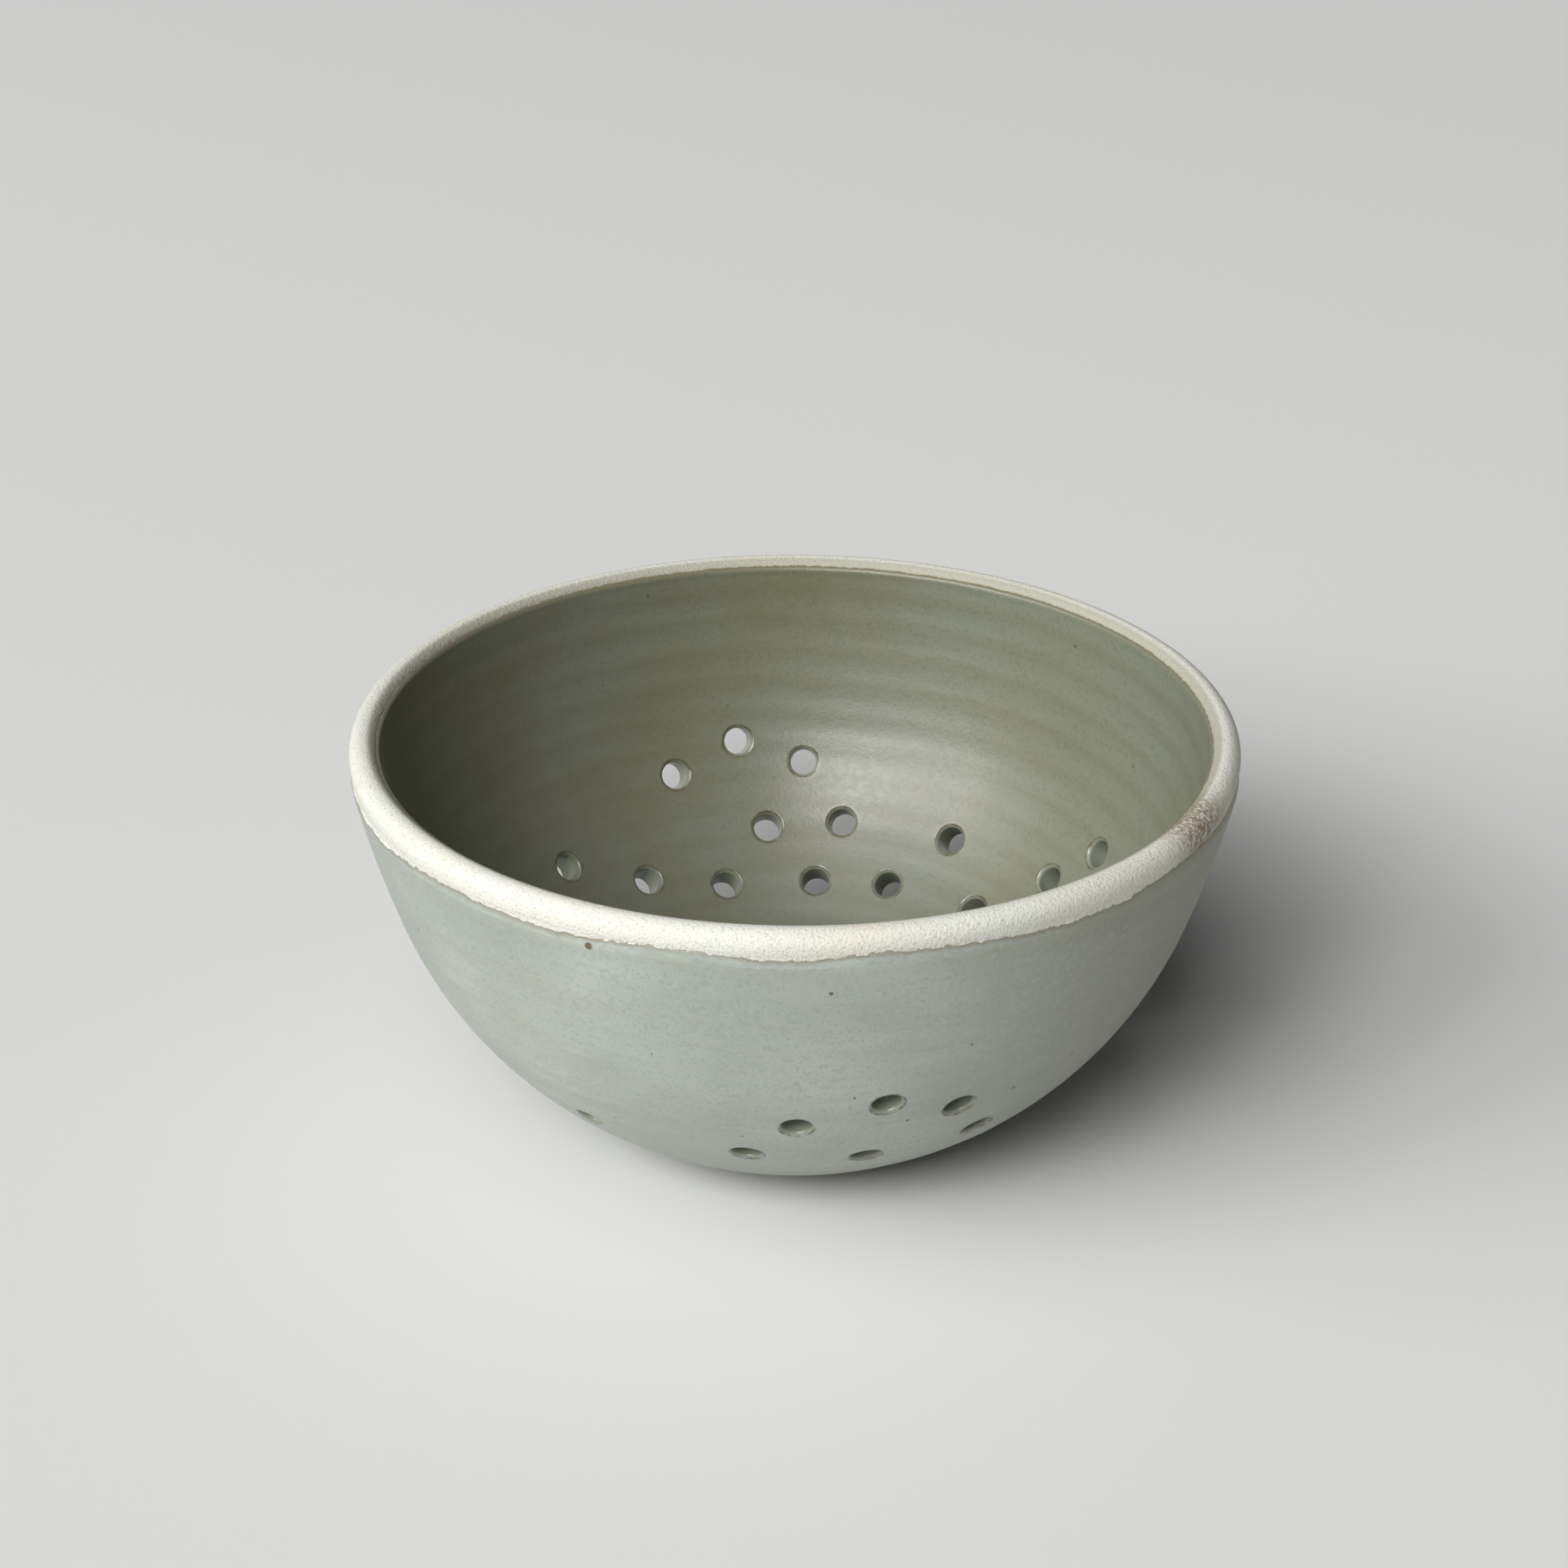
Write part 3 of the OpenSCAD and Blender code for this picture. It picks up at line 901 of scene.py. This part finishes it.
def makeStoneware(look):
    # bare stoneware, sponged after throwing: matt and sandy, warm white, with specks of iron, and
    # painted shade on the inner face of the lip
    material, tree, add, shader, place = newMaterial("bare stoneware")
    pattern = makePatterns(add, place, look["patterns"])
    turn = radians(look["toastPlace"])
    spot = Vector((sin(turn), -cos(turn), 0))*curves["lip"].x*mm + Vector((0, 0, clayHigh[2]))
    far = add("VectorMath", [place, spot], operation="DISTANCE").outputs["Value"]
    mask = makeMasks(add, [
        ("warm", pattern["warm"], 0.45, 0.75, 0.5, False),
        ("dark", pattern["grit"], 0.47, 0.3, 0.7, False),
        # glaze has soaked into the clay just above its line
        ("stain", paintedLine(add, place, look), -0.25*mm, 0.05*mm, 0.8, True),
        # painted shade: the inner face of the lip is darkened for the back of the rim, along with
        # a thin glaze film
        ("filmAndShade", fromMiddle(add, place), look["filmAndShadeFrom"]*mm, look["filmAndShadeTo"]*mm, 0.9, True),
        ("patch", far, look["toastReach"]*mm, look["toastCore"]*mm, 1, True),
        ("blotch", pattern["blotch"], 0.36, 0.56, 1, False)])
    toast = add("Math", [mask["patch"], mask["blotch"]], operation="MULTIPLY")
    colour = paintOver(add, linearColour(look["clay"]), [
        (look["warm"], mask["warm"]), (look["filmAndShade"], mask["filmAndShade"]),
        (look["shadeOfGrit"], mask["dark"]), (look["toast"], toast),
        (look["stain"], mask["stain"]), (look["iron"], ironSpecks(add, place, look))])
    tree.links.new(colour, shader.inputs["Base Color"])
    shader.inputs["Roughness"].default_value = look["roughness"]
    shader.inputs["Specular IOR Level"].default_value = look["shine"]
    bump = add("Bump", {
        "Height": pattern["pits"], "Strength": 0.7, "Distance": look["pitDepth"]*mm})
    bump = add("Bump", {
        "Height": pattern["grit"], "Distance": look["gritDepth"]*mm, "Normal": bump})
    tree.links.new(bump.outputs[0], shader.inputs["Normal"])
    return material


celadon = {
    "glaze": "#9BA29A",
    "pale": "#A9AFA7",
    "warm": "#8F9080",
    "cool": "#87908B",   # flecks and flat streaks where it lies thicker
    "coolAmount": 0.5,
    "sideShading": "#7B7B68",  # painted shade: the side away from the lamps is painted darker and warmer
    "sideShadingAmount": 0.75,
    "sideShadingFrom": 77,     # degrees from the front
    "sideShadingNear": 25,
    "sideShadingFar": 85,
    "pool": "#838978",   # glaze that has pooled in the holes
    "break": "#574B36",  # iron shows brown where the glaze runs thin over an edge
    "edge": "#7A725C",
    "iron": "#5A5140",
    "ring": "#9C9F8B",
    "ringAmount": 0.16,
    "streakAmount": 0.45,
    # millimetres, detail, roughness, how flat: the glaze ran level on the wheel
    "patterns": {"cloud": (30, 2, 0.5, 1), "streak": (30, 4, 0.6, 3.5), "fine": (1.3, 3, 0.6, 1),
                 "fleck": (0.75, 2, 0.5, 1), "drag": (7, 2, 0.5, 6), "grain": (0.5, 1, 0.5, 1),
                 "patchy": (2.2, 3, 0.6, 1)},
    "ironSpacing": 7.5,
    "ironRadius": 0.2,
    "ironFew": 0.5,
    "ironStrength": 0.6,
    "roughness": (0.38, 0.5),
    "refraction": 1.5,
    "fineDepth": 0.05,
    "grainDepth": 0.035,
    "side": "outside",
    # degrees from the front, millimetres up, radius in millimetres
    "spots": [(334.8, 74.2, 0.75), (4.5, 68.5, 0.4), (8.5, 42.1, 0.3), (17.4, 33.3, 0.35),
              (34.8, 35.6, 0.45), (330, 28.2, 0.3), (45, 38.9, 0.35), (24, 52, 0.25),
              (341, 51, 0.2), (352, 30, 0.25), (300, 58, 0.3), (283, 40, 0.25)],
}
# painted shade: the inside is a darker, more olive copy of the celadon glaze, darkened to stand
# for the shade inside the bowl
olive = dict(celadon, **{
    "glaze": "#696852",
    "pale": "#6D7161",
    "warm": "#66614A",
    "cool": "#5B5D4C",
    "coolAmount": 0.35,
    "sideShading": "#7F8678",  # painted light: inside, that side is painted lighter and cooler
    "sideShadingAmount": 0.5,
    "sideShadingFrom": 115,
    "edge": "#6B6146",
    "ring": "#5D5D44",
    "ringAmount": 0.22,
    "streakAmount": 0.5,
    "roughness": (0.29, 0.38),
    "side": "inside",
    "spots": [(133.2, 73.6, 0.35), (114, 58.1, 0.3), (202.9, 76, 0.4), (212.2, 60.1, 0.25),
              (211.6, 64.3, 0.2), (191.3, 52.1, 0.25)],
})
breaking = dict(olive, **{"glaze": "#868C7B", "pale": "#8F9688", "warm": "#7C7A66",
                          "cool": "#7B8274", "ring": "#7B7E6A", "spots": []})


def makeGlaze(name, look):
    # satin glaze fired on stoneware: a soft sheen, cloudy with level streaks, glossier and
    # brown where it runs over the edges of the holes; one side has painted shade outside and
    # painted light inside
    material, tree, add, shader, place = newMaterial(name)
    pattern = makePatterns(add, place, look["patterns"])
    thick = add("Math", [pattern["drag"], 0.4, pattern["fleck"]], operation="MULTIPLY_ADD")
    # the side that is painted darker outside and lighter inside, as painted shade and light
    turn = radians(look["sideShadingFrom"])
    sideShading = add("VectorMath", [place, (sin(turn), -cos(turn), 0)], operation="DOT_PRODUCT")
    ring = add("Attribute", attribute_name="ring").outputs["Fac"]
    near = add("Attribute", attribute_name="holeNear").outputs["Fac"]
    bore, mouth = holes["bore"], holes["mouth"]
    rim = add("Math", [near, (bore + mouth*0.7)*mm], operation="SUBTRACT")
    rim = add("Math", [rim], operation="ABSOLUTE")
    line = paintedLine(add, place, stoneware)
    mask = makeMasks(add, [
        ("cloud", pattern["cloud"], 0.35, 0.7, 1, False),
        ("streak", pattern["streak"], 0.45, 0.75, look["streakAmount"], False),
        ("mottle", pattern["fine"], 0.5, 0.72, 0.5, False),
        ("thick", thick, 0.7, 0.88, look["coolAmount"], False),
        # painted shade and light: one side of the glaze is painted darker outside and lighter
        # inside
        ("sideShading", sideShading.outputs["Value"], look["sideShadingNear"]*mm, look["sideShadingFar"]*mm,
         look["sideShadingAmount"], True),
        # the rings' crests carry less glaze
        ("ring", ring, -0.2, 1, look["ringAmount"], True),
        ("pool", near, (bore + 0.6)*mm, (bore + 0.15)*mm, 1, True),
        # brown where it breaks over the holes' edges
        ("rim", rim, 0.42*mm, 0.05*mm, 0.95, True),
        # it is thin along its line, and bare clay shows through the last of it
        ("edge", line, 0.9*mm, 0.1*mm, 0.9, True),
        ("bare", line, 0.02*mm, -0.1*mm, 1, False)])
    patchy = add("MapRange", {
        "Value": pattern["patchy"], "From Min": 0.4, "From Max": 0.6, "To Min": 0.15})
    rim = add("Math", [mask["rim"], patchy], operation="MULTIPLY")
    broken = add("MapRange", {"Value": mask["cloud"], "To Min": 0.45})
    edge = add("Math", [mask["edge"], broken], operation="MULTIPLY")
    colour = paintOver(add, linearColour(look["glaze"]), [
        (look["pale"], mask["cloud"]), (look["warm"], mask["streak"]),
        (look["sideShading"], mask["sideShading"]), (look["pale"], mask["mottle"]),
        (look["cool"], mask["thick"]), (look["ring"], mask["ring"]),
        (look["pool"], mask["pool"]), (look["edge"], edge), (look["break"], rim),
        (look["iron"], ironSpecks(add, place, look)),
        (look["iron"], ironAmount(add, place, look["spots"], look["side"])),
        (stoneware["clay"], mask["bare"])])
    tree.links.new(colour, shader.inputs["Base Color"])
    gloss = add("MapRange", {
        "Value": pattern["fine"], "From Min": 0.3, "From Max": 0.7, "To Min": look["roughness"][0],
        "To Max": look["roughness"][1]})
    # the glaze pools glossy at the holes
    wet = add("MapRange", {
        "Value": near, "From Min": (bore + mouth + 0.6)*mm, "From Max": (bore + 0.2)*mm,
        "To Min": 1.0, "To Max": 0.55})
    gloss = add("Math", [gloss, wet], operation="MULTIPLY")
    matt = add("Math", [mask["bare"], stoneware["roughness"]], operation="MULTIPLY")
    gloss = add("Math", [gloss, matt], operation="MAXIMUM")
    tree.links.new(gloss.outputs[0], shader.inputs["Roughness"])
    shader.inputs["IOR"].default_value = look["refraction"]
    bump = add("Bump", {
        "Height": pattern["fine"], "Strength": 0.5, "Distance": look["fineDepth"]*mm})
    bump = add("Bump", {
        "Height": pattern["grain"], "Strength": 0.7, "Distance": look["grainDepth"]*mm,
        "Normal": bump})
    tree.links.new(bump.outputs[0], shader.inputs["Normal"])
    return material


def finishTree():
    # gives a cut piece the smooth shading of the surfaces it was cut from, and what its
    # material needs to know: the ring it lies on, the glaze line above and the nearest hole
    tree, add, given = newTree("finish", mesh="Geometry", skin="Object", cutters="Object",
                               holeLines="Object", material="Material", tolerance="Float")
    position = add("InputPosition")
    normal = add("InputNormal")
    mesh = given["mesh"]
    chosen = normal
    for source, way in (("cutters", -1.0), ("skin", 1.0)):
        shape = add("ObjectInfo", [given[source]]).outputs["Geometry"]
        turned = add("VectorMath", {0: normal, "Scale": way}, operation="SCALE")
        shape = add("StoreNamedAttribute", {
            "Geometry": shape, "Name": "facing", "Value": turned}, data_type="FLOAT_VECTOR")
        facing = add("InputNamedAttribute", ["facing"], data_type="FLOAT_VECTOR")
        sampled = add("SampleNearestSurface", {
            "Mesh": shape, "Value": facing, "Sample Position": position}, data_type="FLOAT_VECTOR")
        apart = add("Proximity", {
            "Geometry": shape, "Sample Position": position}).outputs["Distance"]
        close = add("FunctionNodeCompare", [apart, given["tolerance"]], operation="LESS_THAN")
        chosen = add("Switch", {
            "Switch": close, "False": chosen, "True": sampled}, input_type="VECTOR")
    mesh = add("SetShadeSmooth", [mesh])
    mesh = add("SetMeshNormal", {
        "Mesh": mesh, "Custom Normal": chosen}, mode="FREE", domain="POINT")
    for name in ("belowLine", "ring"):
        value = add("InputNamedAttribute", [name])
        sampled = add("SampleNearestSurface", {
            "Mesh": shape, "Value": value, "Sample Position": position})
        mesh = add("StoreNamedAttribute", {"Geometry": mesh, "Name": name, "Value": sampled})
    lines = add("ObjectInfo", [given["holeLines"]]).outputs["Geometry"]
    away = add("Proximity", {"Geometry": lines, "Sample Position": position},
               target_element="EDGES").outputs["Distance"]
    mesh = add("StoreNamedAttribute", {"Geometry": mesh, "Name": "holeNear", "Value": away})
    mesh = add("RealizeInstances", [mesh])
    mesh = add("SetMaterial", {"Geometry": mesh, "Material": given["material"]})
    add("NodeGroupOutput", [mesh])
    return tree


finishing = finishTree()
celadonGlaze = makeGlaze("satin celadon glaze", celadon)
# the inside's glaze, a darker copy of the celadon that stands for painted shade
shadedInsideGlaze = makeGlaze("celadon glaze painted shaded inside", olive)
breakingGlaze = makeGlaze("iron break glaze", breaking)
pieces = [
    # piece, name, skin, cutters, material, the CAD node it stands for, slot
    (clay, "stonewareBowl", claySkin, clayCutters, makeStoneware(stoneware), "clay_body",
     "bare_stoneware"),
    (outsideCoat, "outsideGlaze", glazeSkin, glazeCutters, celadonGlaze, "outer_glaze",
     "celadon_glaze"),
    (insideCoat, "insideGlaze", glazeSkin, glazeCutters, shadedInsideGlaze, "inner_glaze",
     "olive_celadon_glaze"),
    (linings, "drainHoleGlaze", glazeSkin, glazeCutters, breakingGlaze, "drain_hole_glaze",
     "iron_break_glaze"),
]
finished = []
for cut, name, skin, cutters, material, node, slot in pieces:
    piece = runNodes(name, cut.data, finishing, {
        "skin": skin, "cutters": cutters, "holeLines": lines, "material": material,
        "tolerance": surface["sameSpot"]*mm})
    piece.data.materials.pop(index=0)       # the cuts leave an empty slot first
    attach(piece, "root")
    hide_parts(node)
    finished.append(piece)

# the helpers have done their work
kept = set(finished) | set(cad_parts.values()) | {bpy.data.objects["studioFloor"]}
for helper in [o for o in bpy.data.objects if o.type == "MESH" and o not in kept]:
    bpy.data.objects.remove(helper)
print("pieces finished")
